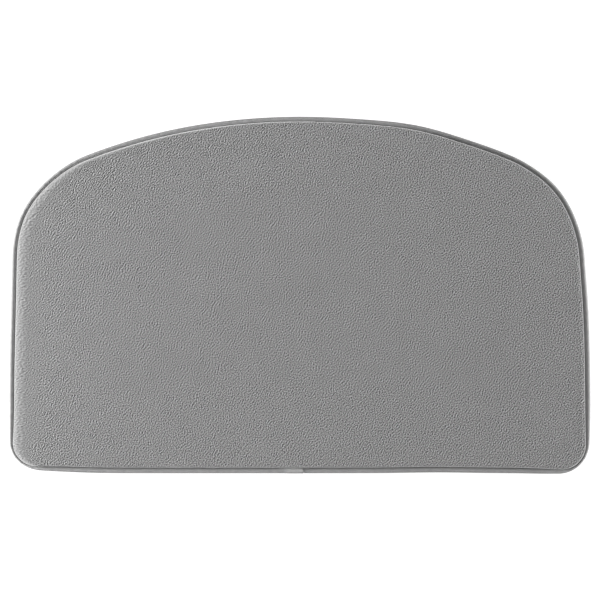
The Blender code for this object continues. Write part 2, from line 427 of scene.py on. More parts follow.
@dataclass
class Outline:
    """The mat's D shape, a chain of tangent arcs walked counterclockwise from the middle of the front.

    The width and the depth come from the frame, and the side's and the crown's radii are fitted to them.
    """

    width: float
    front: float
    back: float
    corner_radius: float = 43.6 * MM
    shoulder_radius: float = 158 * MM
    corner_turn: float = math.radians(89.3)
    side_turn: float = math.radians(3.9)
    shoulder_turn: float = math.radians(66.2)

    def __post_init__(self) -> None:
        """Work out each arc's length and curvature, and where it starts and in what direction."""
        lengths, bends = self._half_chain()
        self.lengths = np.array(lengths + lengths[::-1])
        self.bends = np.array(bends + bends[::-1])
        self.starts = np.concatenate([[0.0], np.cumsum(self.lengths)])
        self.total = float(self.starts[-1])
        self.headings = np.concatenate([[0.0], np.cumsum(self.lengths * self.bends)])[:-1]
        steps = walk(self.headings, self.bends, self.lengths)
        self.corners = np.cumsum(np.concatenate([[[0.0, self.front]], steps]), axis=0)[:-1]

    def _half_chain(self) -> tuple[list[float], list[float]]:
        """The right half from the front's middle: each piece's length and its bend, 1 / radius."""
        corner = self.corner_turn
        side = corner + self.side_turn
        shoulder = side + self.shoulder_turn
        across = [
            [1 - math.sin(side), math.sin(shoulder)],
            [math.cos(corner) - math.cos(side), 1 + math.cos(shoulder)],
        ]
        wanted = [
            self.width / 2 - self.shoulder_radius * (math.sin(side) - math.sin(shoulder)),
            (self.back - self.front)
            - self.corner_radius * (1 - math.cos(corner))
            - self.shoulder_radius * (math.cos(side) - math.cos(shoulder)),
        ]
        side_radius, crown_radius = (float(radius) for radius in np.linalg.solve(across, wanted))
        front_run = self.width / 2 - self.corner_radius * math.sin(corner)
        front_run -= side_radius * (1 - math.sin(corner))
        radii = [self.corner_radius, side_radius, self.shoulder_radius, crown_radius]
        turns = [corner, self.side_turn, self.shoulder_turn, math.pi - shoulder]
        lengths = [front_run] + [radius * turn for radius, turn in zip(radii, turns)]
        return lengths, [0.0] + [1 / radius for radius in radii]

    def at(self, distance: Array) -> tuple[Array, Array]:
        """Points on the outline, all at once.

        Args:
            distance: distances along the outline, wrapped to its length.

        Returns:
            The points, and the unit directions inwards, both as (n, 2) arrays.
        """
        wrapped = np.mod(distance, self.total)
        piece = np.clip(np.searchsorted(self.starts, wrapped, side="right") - 1, 0, len(self.bends) - 1)
        step = wrapped - self.starts[piece]
        bend, heading = self.bends[piece], self.headings[piece]
        turned = heading + step * bend
        inwards = np.stack([-np.sin(turned), np.cos(turned)], axis=-1)
        return self.corners[piece] + walk(heading, bend, step), inwards

    def inset(self, points: Array) -> tuple[Array, Array]:
        """How far inside the outline points lie: the least of radius - |point - centre| over the arcs.

        An arc counts for the points in its own sector, and a straight for the points beside it.

        Args:
            points: an array whose last axis holds x and y.

        Returns:
            The distances, and the unit directions away from the nearest edge.
        """
        best = np.full(points.shape[:-1], np.inf)
        inwards = np.zeros_like(points)
        for i, (length, bend) in enumerate(zip(self.lengths, self.bends)):
            start, heading = self.corners[i], self.headings[i]
            normal = np.array([-math.sin(heading), math.cos(heading)])
            if bend == 0:
                offset = points - start
                along = offset @ np.array([math.cos(heading), math.sin(heading)])
                found = offset @ normal
                inside = (along > -1e-6) & (along < length + 1e-6)
                towards = np.broadcast_to(normal, points.shape)
            else:
                centre = start + normal / bend
                radial = points - centre
                away = np.linalg.norm(radial, axis=-1)
                found = 1 / bend - away
                last = heading + length * bend
                first_arm, last_arm = -normal, np.array([math.sin(last), -math.cos(last)])
                after_first = first_arm[0] * radial[..., 1] - first_arm[1] * radial[..., 0]
                before_last = radial[..., 0] * last_arm[1] - radial[..., 1] * last_arm[0]
                inside = (after_first > -1e-6) & (before_last > -1e-6)
                towards = -radial / np.maximum(away, 1e-9)[..., None]
            nearer = inside & (found < best)
            best = np.where(nearer, found, best)
            inwards = np.where(nearer[..., None], towards, inwards)
        return best, inwards

    def side(self, side: Side, count: int) -> Array:
        """Evenly spaced distances along one side of a square grid.

        The sides meet in the middle of the corner arcs and in the middle of the shoulder arcs. The front
        and the back run from left to right, and the left and the right from front to back.

        Args:
            side: which of the four.
            count: how many points, both ends included.

        Returns:
            The distances along the outline.
        """
        corner = self.starts[1] + self.lengths[1] / 2
        shoulder = self.starts[3] + self.lengths[3] / 2
        ends = {
            Side.FRONT: (-corner, corner),
            Side.RIGHT: (corner, shoulder),
            Side.BACK: (self.total - shoulder, shoulder),
            Side.LEFT: (self.total - corner, self.total - shoulder),
        }
        return np.linspace(*ends[side], count)

    def grid(self, columns: int, rows: int, inset: float) -> Array:
        """A square grid over the whole D, blended from its four sides.

        Each point is the blend of the front and back curves, plus the blend of the left and right
        curves, less the blend of the four corner points.

        Args:
            columns: points from left to right.
            rows: points from front to back.
            inset: how far the grid's border lies inside the outline.

        Returns:
            An array of (rows, columns, 2).
        """
        edges = {}
        for side in Side:
            count = columns if side in (Side.FRONT, Side.BACK) else rows
            points, inwards = self.at(self.side(side, count))
            edges[side] = points + inwards * inset
        u = np.linspace(0, 1, columns)[None, :, None]
        v = np.linspace(0, 1, rows)[:, None, None]
        front, back = edges[Side.FRONT][None], edges[Side.BACK][None]
        left, right = edges[Side.LEFT][:, None], edges[Side.RIGHT][:, None]
        ruled = (1 - v) * front + v * back + (1 - u) * left + u * right
        corners = (1 - v) * ((1 - u) * front[:, :1] + u * front[:, -1:])
        corners = corners + v * ((1 - u) * back[:, :1] + u * back[:, -1:])
        return ruled - corners

    def rim(self, columns: int, rows: int) -> Array:
        """Distances along the outline of a grid's border points, in order, without repeats."""
        return np.concatenate(
            [
                self.side(Side.FRONT, columns)[:-1],
                self.side(Side.RIGHT, rows)[:-1],
                self.side(Side.BACK, columns)[::-1][:-1],
                self.side(Side.LEFT, rows)[::-1][:-1],
            ]
        )


def added(name: str, data: bpy.types.ID) -> bpy.types.Object:
    """Add an object with this data to the scene."""
    made = bpy.data.objects.new(name, data)
    bpy.context.scene.collection.objects.link(made)
    return made


class Quilt:
    """Collects points and faces for one piece, and makes its mesh."""

    def __init__(self, lie: Lie | None = None) -> None:
        """Start empty, with the way the mat lies, if the points are to follow it."""
        self.lie = lie
        self.points: list[Array] = []
        self.quads: list[Array] = []
        self.caps: list[Array] = []
        self.count = 0

    def add_points(self, points: Array) -> Array:
        """Add points of any grid shape.

        Args:
            points: an array whose last axis holds x, y and z.

        Returns:
            Their indices, in the same grid shape.
        """
        if self.lie:
            points = self.lie.settle(points)
        indices = np.arange(self.count, self.count + points[..., 0].size).reshape(points.shape[:-1])
        self.points.append(points.reshape(-1, 3))
        self.count += indices.size
        return indices

    def add_quads(self, grid: Array) -> None:
        """Join a grid of indices into quads, facing the side from which u and v turn left."""
        corners = (grid[:-1, :-1], grid[:-1, 1:], grid[1:, 1:], grid[1:, :-1])
        self.quads.append(np.stack(corners, axis=-1).reshape(-1, 4))

    def add_loop(self, near: Array, far: Array) -> None:
        """Join two closed loops of indices into a band of quads."""
        self.quads.append(np.stack([near, np.roll(near, -1), np.roll(far, -1), far], axis=-1))

    def add_slab(self, top: Array, base: Array) -> None:
        """Join two grids of indices, one above the other, into a closed slab."""
        self.add_quads(top)
        self.add_quads(base.T)
        self.add_loop(border(base), border(top))

    def add_tube(self, rings: Array) -> None:
        """Join rings of indices, one after another, into a tube that faces outwards."""
        near, far = rings[:-1], rings[1:]
        corners = (far, np.roll(far, -1, axis=1), np.roll(near, -1, axis=1), near)
        self.quads.append(np.stack(corners, axis=-1).reshape(-1, 4))

    def add_cap(self, loop: Array) -> None:
        """Close a loop of indices with one flat face."""
        self.caps.append(loop)

    def mesh(self, name: str) -> bpy.types.Object:
        """Make the piece, smooth shaded and at the origin.

        Args:
            name: the piece's name.

        Returns:
            The new object.
        """
        quads = np.concatenate(self.quads)
        sizes = np.concatenate([np.full(len(quads), 4), [len(cap) for cap in self.caps]]).astype(np.int32)
        corners = np.concatenate([quads.ravel(), *self.caps]).astype(np.int32)
        starts = np.concatenate([[0], np.cumsum(sizes)[:-1]]).astype(np.int32)
        mesh = bpy.data.meshes.new(name)
        mesh.vertices.add(self.count)
        mesh.vertices.foreach_set("co", np.concatenate(self.points).astype(np.float32).ravel())
        mesh.loops.add(len(corners))
        mesh.loops.foreach_set("vertex_index", corners)
        mesh.polygons.add(len(sizes))
        mesh.polygons.foreach_set("loop_start", starts)
        mesh.update(calc_edges=True)
        mesh.validate()
        mesh.shade_smooth()
        return added(name, mesh)


def border(grid: Array) -> Array:
    """The border of a grid of indices as one loop: front, right, back, then left."""
    return np.concatenate([grid[0, :-1], grid[:-1, -1], grid[-1, ::-1][:-1], grid[::-1, 0][:-1]])


def grid_normals(grid: Array) -> Array:
    """Unit normals of a surface grid: the cross product of its differences along u and along v."""
    along = np.gradient(grid, axis=1)
    up = np.gradient(grid, axis=0)
    normals = np.cross(along, up)
    return normals / np.maximum(np.linalg.norm(normals, axis=-1, keepdims=True), 1e-12)


def store_uv(piece: bpy.types.Object, name: str, per_point: Array) -> None:
    """Give a piece a UV map.

    Args:
        piece: the piece.
        name: the map's name.
        per_point: one (u, v) for each point.
    """
    mesh = piece.data
    corner_points = np.empty(len(mesh.loops), dtype=np.int32)
    mesh.loops.foreach_get("vertex_index", corner_points)
    layer = mesh.uv_layers.new(name=name)
    layer.data.foreach_set("uv", per_point[corner_points].astype(np.float32).ravel())


def store_shade(piece: bpy.types.Object, name: str, shade: Array) -> None:
    """Store one number for each point, for the shader.

    Args:
        piece: the piece.
        name: the attribute's name.
        shade: the numbers of the first points; those after them get 0.
    """
    values = np.zeros(len(piece.data.vertices), dtype=np.float32)
    values[: shade.size] = shade.ravel()
    piece.data.attributes.new(name, "FLOAT", "POINT").data.foreach_set("value", values)


def dress(
    piece: bpy.types.Object, finish: bpy.types.Material, slot: str, *nodes: str
) -> bpy.types.Object:
    """Give a piece its material and its body, and hide the CAD nodes that it stands for.

    Args:
        piece: the finished object.
        finish: its material.
        slot: the record's material slot; not used.
        nodes: the CAD nodes that it replaces.

    Returns:
        The same piece.
    """
    piece.data.materials.append(finish)
    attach(piece, "root")
    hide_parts(*nodes)
    LOG.info("%s: %d points, %d faces", piece.name, len(piece.data.vertices), len(piece.data.polygons))
    return piece


@dataclass(frozen=True)
class Ridges:
    """Band-limited noise: short ridges of one pitch that lean one way."""

    pitch: float
    lean: float
    spread: float
    order: float
    seed: int
    step: float = 0.5 * MM

    def field(self, width: float, depth: float) -> Array:
        """White noise filtered to one band of wavelengths and directions, with unit deviation.

        The filter is exp(-(ln(f * pitch) / spread) ** 2 / 2) in frequency f, times
        exp(order * (cos(2 * (angle - across)) - 1)) in direction.

        Args:
            width: the field's extent along x.
            depth: its extent along y.

        Returns:
            The field, one value each step, rows along y.
        """
        rows, columns = math.ceil(depth / self.step), math.ceil(width / self.step)
        white = np.random.default_rng(self.seed).standard_normal((rows, columns))
        fx = np.fft.rfftfreq(columns, self.step)[None, :]
        fy = np.fft.fftfreq(rows, self.step)[:, None]
        frequency = np.maximum(np.hypot(fx, fy), 1e-6)
        across = self.lean - math.pi / 2
        band = np.exp(-((np.log(frequency * self.pitch) / self.spread) ** 2) / 2)
        direction = np.exp(self.order * (np.cos(2 * (np.arctan2(fy, fx) - across)) - 1))
        field = np.fft.irfft2(np.fft.rfft2(white) * band * direction, s=(rows, columns))
        return field / field.std()


def sample(field: Array, step: float, origin: Array, points: Array) -> Array:
    """Read a regular field at free points, blending the four nearest values.

    Args:
        field: the values, rows along y.
        step: the distance between them.
        origin: the x and y of the first value.
        points: where to read, x and y on the last axis.

    Returns:
        The blended values.
    """
    place = (points - origin) / step
    column = np.clip(place[..., 0], 0, field.shape[1] - 1.001)
    row = np.clip(place[..., 1], 0, field.shape[0] - 1.001)
    left, low = column.astype(int), row.astype(int)
    fx, fy = column - left, row - low
    near = field[low, left] * (1 - fx) + field[low, left + 1] * fx
    far = field[low + 1, left] * (1 - fx) + field[low + 1, left + 1] * fx
    return near * (1 - fy) + far * fy


# ---- The mat's pieces ----


@dataclass
class Layers:
    """The heights of the mat's layers, read from the frame, and the insets of its sewn edge."""

    base_bottom: float
    base_top: float
    foam_bottom: float
    foam_top: float
    face_bottom: float
    face_top: float
    seam_inset: float = 5.2 * MM
    tape_end: float = 6.2 * MM
    roll_start: float = 7.9 * MM
    face_at_seam: float = 4.3 * MM

    @classmethod
    def from_frame(cls) -> Layers:
        """Read the heights from the CAD nodes' boxes."""
        base, foam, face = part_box("base_cloth"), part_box("foam_core"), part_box("face_fabric")
        return cls(
            base_bottom=base[0][2],
            base_top=base[1][2],
            foam_bottom=foam[0][2],
            foam_top=foam[1][2],
            face_bottom=foam[1][2] + LAYER_GAP,
            face_top=face[1][2],
        )


@dataclass(frozen=True)
class Edge:
    """One side of the mat: its binding's width, the painted light on its tape, the painted shade on its
    fold, and how the plush rolls.
    """

    seam_scale: float
    painted_side_light: float
    painted_fold_shade: float
    roll_width: float
    crest: float
    smooth_reach: float


# The second and third numbers are painted light: each side's tape painted lighter or darker, and painted
# shade on its fold.
EDGES = {
    Side.FRONT: Edge(1.07, 0.97, 0.4, 3.4 * MM, 0.0, 9 * MM),
    Side.RIGHT: Edge(1.1, 1.15, 1.0, 3.0 * MM, 0.8 * MM, 9 * MM),
    Side.BACK: Edge(0.94, 0.82, 0.5, 3.0 * MM, 0.4 * MM, 9 * MM),
    Side.LEFT: Edge(1.06, 1.1, 0.9, 17 * MM, 0.0, 60 * MM),
}


def around(inwards: Array, setting: str) -> Array:
    """Blend one setting of the four edges by the direction inwards: its squared parts sum to 1.

    Args:
        inwards: unit directions away from the nearest edge.
        setting: the name of the Edge field.

    Returns:
        The blended setting.
    """
    x, y = inwards[..., 0], inwards[..., 1]
    front, back = (getattr(EDGES[side], setting) for side in (Side.FRONT, Side.BACK))
    left, right = (getattr(EDGES[side], setting) for side in (Side.LEFT, Side.RIGHT))
    return np.where(x > 0, left, right) * x**2 + np.where(y > 0, front, back) * y**2


@dataclass(frozen=True)
class Pinch:
    """One stretch where the binding is drawn in narrower: a bell round a place on the edge."""

    x: float
    y: float
    reach: float
    share: float


PINCHES = (
    Pinch(-386 * MM, -230 * MM, 45 * MM, 0.45),
    Pinch(386 * MM, -230 * MM, 45 * MM, 0.38),
    Pinch(-358 * MM, 146 * MM, 90 * MM, 0.11),
    Pinch(358 * MM, 146 * MM, 90 * MM, 0.05),
)


def binding_scale(edge: Array, inwards: Array) -> Array:
    """How wide the binding is sewn: the side's own scale, less a share of it at each pinch.

    Args:
        edge: points on the outline.
        inwards: the unit directions inwards there.

    Returns:
        The scale of the binding's insets at each point.
    """
    scale = around(inwards, "seam_scale")
    for pinch in PINCHES:
        away = np.hypot(edge[..., 0] - pinch.x, edge[..., 1] - pinch.y)
        scale = scale * (1 - pinch.share * bell(away, pinch.reach))
    return scale


@dataclass(frozen=True)
class Pull:
    """One place where the mat lies a little off its pattern: a bell of sideways movement."""

    x: float
    y: float
    reach: float
    shift: tuple[float, float]


@dataclass
class Lie:
    """How the soft mat lies on the floor: its outline strays a few millimetres from the pattern."""

    pulls: tuple[Pull, ...] = (
        Pull(160 * MM, 228 * MM, 65 * MM, (0.6 * MM, 3.7 * MM)),
        Pull(378 * MM, 95 * MM, 60 * MM, (-2.4 * MM, -0.8 * MM)),
        Pull(322 * MM, 178 * MM, 40 * MM, (-1.0 * MM, -1.6 * MM)),
        Pull(400 * MM, 32 * MM, 45 * MM, (-1.0 * MM, 0.0)),
        Pull(-380 * MM, 110 * MM, 48 * MM, (-2.8 * MM, 1.2 * MM)),
        Pull(-398 * MM, 45 * MM, 50 * MM, (-1.2 * MM, 0.0)),
        Pull(-200 * MM, 225 * MM, 110 * MM, (0.0, 1.0 * MM)),
        Pull(-362 * MM, -242 * MM, 62 * MM, (0.6 * MM, 2.8 * MM)),
        Pull(-374 * MM, -246 * MM, 32 * MM, (0.0, 1.3 * MM)),
        Pull(190 * MM, -245 * MM, 60 * MM, (0.0, 1.0 * MM)),
        Pull(400 * MM, -212 * MM, 30 * MM, (-0.9 * MM, 0.0)),
        Pull(345 * MM, -240 * MM, 40 * MM, (0.3 * MM, -0.8 * MM)),
    )

    def settle(self, points: Array) -> Array:
        """Move points sideways by the bells, the same for every layer.

        Args:
            points: x, y and z on the last axis.

        Returns:
            The moved points.
        """
        moved = points.copy()
        for pull in self.pulls:
            away = np.hypot(points[..., 0] - pull.x, points[..., 1] - pull.y)
            weight = bell(away, pull.reach)
            moved[..., 0] += pull.shift[0] * weight
            moved[..., 1] += pull.shift[1] * weight
        return moved


@dataclass
class Mat:
    """What every piece is built from: the outline, the layers, and how the mat lies."""

    outline: Outline
    layers: Layers
    lie: Lie


@dataclass
class Swell:
    """A cloth simulation: the foam presses the plush out, while the seam and the underside hold it."""

    columns: int = 132
    rows: int = 80
    pressure: float = 4.0
    frames: int = 20
    quality: int = 4
    stiffness: float = 40.0
    base_gap: float = 1 * MM
    most: float = 1.2 * MM

    def pillow(self, top: Array, free: Array) -> bpy.types.Object:
        """A closed pillow of the face and a flat underside, with everything but the face pinned.

        Args:
            top: the face's points, (rows, columns, 3).
            free: which of them the seam doesn't hold.

        Returns:
            The pillow, before the simulation.
        """
        quilt = Quilt()
        grid = quilt.add_points(top)
        below = top.copy()
        below[..., 2] = top[..., 2].min() - self.base_gap
        base = quilt.add_points(below)
        quilt.add_slab(grid, base)
        piece = quilt.mesh("swelling")
        held = piece.vertex_groups.new(name="held")
        held.add([int(i) for i in np.concatenate([grid[~free], base.ravel()])], 1.0, "REPLACE")
        return piece

    def movement(self, top: Array, free: Array) -> Array:
        """Run the simulation and read how far each point of the face has moved.

        Args:
            top: the face's points, (rows, columns, 3).
            free: which of them the seam doesn't hold.

        Returns:
            The movement of each point, scaled so that the largest is no more than the cap.
        """
        piece = self.pillow(top, free)
        cloth = piece.modifiers.new("swell", "CLOTH")
        cloth.settings.use_pressure = True
        cloth.settings.uniform_pressure_force = self.pressure
        cloth.settings.effector_weights.gravity = 0.0
        cloth.settings.vertex_group_mass = "held"
        cloth.settings.quality = self.quality
        cloth.settings.tension_stiffness = cloth.settings.compression_stiffness = self.stiffness
        cloth.point_cache.frame_end = self.frames
        scene = bpy.context.scene
        for number in range(1, self.frames + 1):
            scene.frame_set(number)
        result = piece.evaluated_get(bpy.context.evaluated_depsgraph_get())
        points = np.empty(len(result.data.vertices) * 3, dtype=np.float32)
        result.data.vertices.foreach_get("co", points)
        moved = points.reshape(-1, 3)[: free.size].reshape(top.shape) - top
        bpy.data.objects.remove(piece, do_unlink=True)
        scene.frame_set(1)
        length = np.linalg.norm(moved, axis=-1)
        LOG.info("swell: the cloth moved %.2f mm at most", length.max() / MM)
        return moved * min(1.0, self.most / max(float(length.max()), 1e-9))


@dataclass
class PlushFace(Mat):
    """The plush: a padded shell over the foam, with its clumped pile as real relief."""

    finish: PlushFinish
    columns: int = 860
    rows: int = 520
    rim_inset: float = 1.2 * MM
    rim_swell: float = 0.8 * MM
    rim_middle: float = 0.37
    rim_width: float = 1.6 * MM
    roll_height: float = 7.2 * MM
    tuck: float = 1.6 * MM
    wall_span: float = 7 * MM
    catch_up: float = 23 * MM
    sag_depth: float = 1.8 * MM
    sag_reach: float = 75 * MM
    crest_width: float = 2.6 * MM
    clump_depth: float = 0.26 * MM
    ridges: Ridges = Ridges(2.9 * MM, lean=math.radians(60), spread=0.42, order=0.5, seed=11)
    nubs: Ridges = Ridges(2.9 * MM * 0.95, lean=0.0, spread=0.5, order=0.0, seed=13)
    ridges_share: float = 0.7
    nubs_share: float = 0.6
    rim_pile: float = 0.1
    near_pile: float = 0.35
    pattern_margin: float = 40 * MM
    pile_rise: float = 9 * MM
    most_shade: float = 1.5
    seam_gap: float = 0.7 * MM
    rim_gap: float = 0.3 * MM
    inner_start: float = 9 * MM
    inner_width: float = 22 * MM
    inner_angles: tuple[int, ...] = (20, 40, 60, 80, 90)
    swell: Swell = field(default_factory=Swell)

    def base_surface(self) -> tuple[Array, Array, Array]:
        """The smooth face before its pile.

        Beyond the seam the edge is part of an ellipse under the top: at an angle a the inset is
        start + tuck * (cos a0 - cos a) below its widest level and w * (1 - cos a) more above it, and the
        height is top - h + h * sin a. The angle grows evenly over the wall's span from a0, where the
        ellipse meets the seam, to 90 degrees. The crest is a bell where the wall meets the top.

        Returns:
            The surface as (rows, columns, 3), each point's place on the cloth laid flat as
            (rows, columns, 2), and each point's distance past the seam along the cloth.
        """
        layers = self.layers
        flat = self.outline.grid(self.columns, self.rows, self.rim_inset)
        inset, inwards = self.outline.inset(flat)
        start = layers.roll_start * binding_scale(flat - inwards * inset[..., None], inwards)
        width, rise = around(inwards, "roll_width"), self.roll_height
        tuck = np.minimum(width, self.tuck)
        span = np.maximum(width, self.wall_span)
        past = inset - start
        first = -math.asin((layers.face_top - rise - layers.face_at_seam) / rise)
        angle = first + (np.pi / 2 - first) * np.clip(past / span, 0, 1)
        low, high = np.minimum(angle, 0), np.maximum(angle, 0)
        rolled = start + tuck * (math.cos(first) - np.cos(low)) + width * (1 - np.cos(high))
        wall = tuck * (math.cos(first) - 1) + width
        beyond = inset - (span - wall) * (1 - ease(0, 1, (past - span) / self.catch_up))
        moved = np.where(past <= 0, inset, np.where(past < span, rolled, beyond))
        unrolled = np.where(past < span, inset - (span - wall), beyond)
        sag = self.sag_depth * bell(flat[..., 0] + self.outline.width / 2, self.sag_reach)
        crest = around(inwards, "crest") * bell(moved - start - wall, self.crest_width)
        rim = layers.face_at_seam + self.rim_swell * bell(inset - start * self.rim_middle, self.rim_width)
        top = layers.face_top + (crest - sag) * ease(0, 1, past / span)
        height = np.where(past > 0, top - rise + rise * np.sin(angle), rim)
        plan = flat + inwards * (moved - inset)[..., None]
        cloth = flat + inwards * (unrolled - inset)[..., None]
        return raised(plan, height), cloth, past

    def swollen(self, smooth: Array) -> Array:
        """Swell the smooth face by a cloth simulation on a coarser pillow of the same shape.

        Args:
            smooth: the smooth face, (rows, columns, 3).

        Returns:
            The swollen face: the coarse pillow's movement, blended onto every point.
        """
        coarse = replace(self, columns=self.swell.columns, rows=self.swell.rows)
        start, _, past = coarse.base_surface()
        moved = self.swell.movement(start, past > 0)
        row, column = np.meshgrid(
            np.linspace(0, coarse.rows - 1, self.rows),
            np.linspace(0, coarse.columns - 1, self.columns),
            indexing="ij",
        )
        places = np.stack([column, row], axis=-1)
        blended = [sample(moved[..., axis], 1.0, np.zeros(2), places) for axis in range(3)]
        return smooth + np.stack(blended, axis=-1)

    def pile(self, cloth: Array) -> Array:
        """The clumps' relief, about -2 to 2: ridges that lean right, with nubs between them.

        Args:
            cloth: where each point lies on the cloth laid flat.

        Returns:
            The relief of each point.
        """
        depth = self.outline.back - self.outline.front
        size = self.outline.width + self.pattern_margin, depth + self.pattern_margin
        origin = np.array([-size[0] / 2, -size[1] / 2])
        patterns = self.ridges, self.nubs
        fields = [sample(pattern.field(*size), pattern.step, origin, cloth) for pattern in patterns]
        return self.ridges_share * fields[0] + self.nubs_share * fields[1]

    def build(self) -> bpy.types.Object:
        """Lay the pile on the smooth face, and close the shell underneath.

        Returns:
            The plush face.
        """
        layers = self.layers
        smooth, cloth, past = self.base_surface()
        smooth = self.swollen(smooth)
        relief = self.pile(cloth)
        _, inwards = self.outline.inset(cloth)
        strength = ease(self.rim_pile, 1.0, past / self.pile_rise)
        strength = strength * ease(self.near_pile, 1.0, past / around(inwards, "smooth_reach"))
        top = smooth + grid_normals(smooth) * (relief * strength * self.clump_depth)[..., None]
        quilt = Quilt(self.lie)
        grid = quilt.add_points(top)
        quilt.add_quads(grid)
        rim = self.outline.rim(self.columns, self.rows)
        points, inwards = self.outline.at(rim)
        scale = binding_scale(points, inwards)[:, None]
        previous = border(grid)
        for ring_inset, height in self.underside():
            at_rim = ring_inset < layers.roll_start
            plan = points + inwards * ring_inset * (scale if at_rim else 1.0)
            loop = quilt.add_points(raised(plan, height))
            quilt.add_loop(loop, previous)
            previous = loop
        quilt.add_cap(previous[::-1])
        piece = quilt.mesh("plush_face")
        # the relief is stored for the bump and for the painted shade in the hollows and painted light on
        # the tips
        store_shade(piece, "pile", np.clip(relief * strength, -self.most_shade, self.most_shade))
        dress(piece, self.finish.material(), "plush", "face_fabric")
        return piece

    def underside(self) -> list[tuple[float, float]]:
        """The shell's inner rings, as (inset, height), from the rim in over the foam."""
        layers = self.layers
        at_seam = layers.face_at_seam - self.seam_gap
        start, width = self.inner_start, self.inner_width
        rim = layers.face_at_seam - self.rim_gap
        rings = [(self.rim_inset, rim), (layers.seam_inset, at_seam), (start, at_seam)]
        for angle in np.radians(self.inner_angles):
            height = at_seam + (layers.face_bottom - at_seam) * math.sin(angle)
            rings.append((start + width * (1 - math.cos(angle)), height))
        return rings


@dataclass
class Seam:
    """The lockstitch row through the binding, and how the lap lifts it and shifts it."""

    outline: Outline
    layers: Layers
    wanted_pitch: float = 3.5 * MM
    lap_start: float = -13 * MM
    lap_end: float = 5 * MM
    lap_ramp: float = 9 * MM
    lap_lift: float = 0.85 * MM
    lap_bulge: float = 0.3 * MM
    lap_shift: float = 0.9 * MM
    lap_reach: float = 12 * MM
    lap_end_reach: float = 4 * MM
    lap_fall: float = 3 * MM
    lap_ramp_gap: float = 1 * MM

    def __post_init__(self) -> None:
        """Fit a whole number of stitches round the mat."""
        self.count = round(self.outline.total / self.wanted_pitch)
        self.pitch = self.outline.total / self.count

    def from_middle(self, distance: Array) -> Array:
        """Distances along the outline as signed distances from the middle of the front."""
        half = self.outline.total / 2
        return np.mod(distance + half, self.outline.total) - half

    def shifted(self, distance: Array) -> Array:
        """How far the lap moves the binding inwards: all of the shift over the lap, easing to none."""
        x = self.from_middle(distance)
        right = ease(1, 0, (x - self.lap_end) / self.lap_reach)
        left = ease(1, 0, (self.lap_start - self.lap_ramp - x) / self.lap_reach)
        return self.lap_shift * np.minimum(left, right)

    def lifted(self, distance: Array) -> Array:
        """How far the lap raises the stitches on top."""
        start, end = self.lap_start, self.lap_end
        places = [start - self.lap_ramp, start, end, end + self.lap_fall]
        return self.lap_lift * np.interp(self.from_middle(distance), places, [0, 1, 1, 0])

    def pull(self, distance: Array) -> Array:
        """The thread's pull, 0 between stitches and 1 at each needle hole: a raised cosine, cubed."""
        return (0.5 + 0.5 * np.cos(2 * np.pi * distance / self.pitch)) ** 3


# The steps along the tape's section: the seam below, the bead's two ends, the seam on top, the last
LOW_SEAM, BEAD_START, BEAD_END, TOP_SEAM, LAST_STEP = 2, 4, 10, 12, 13
MIDDLE_STEP = (BEAD_START + BEAD_END) / 2


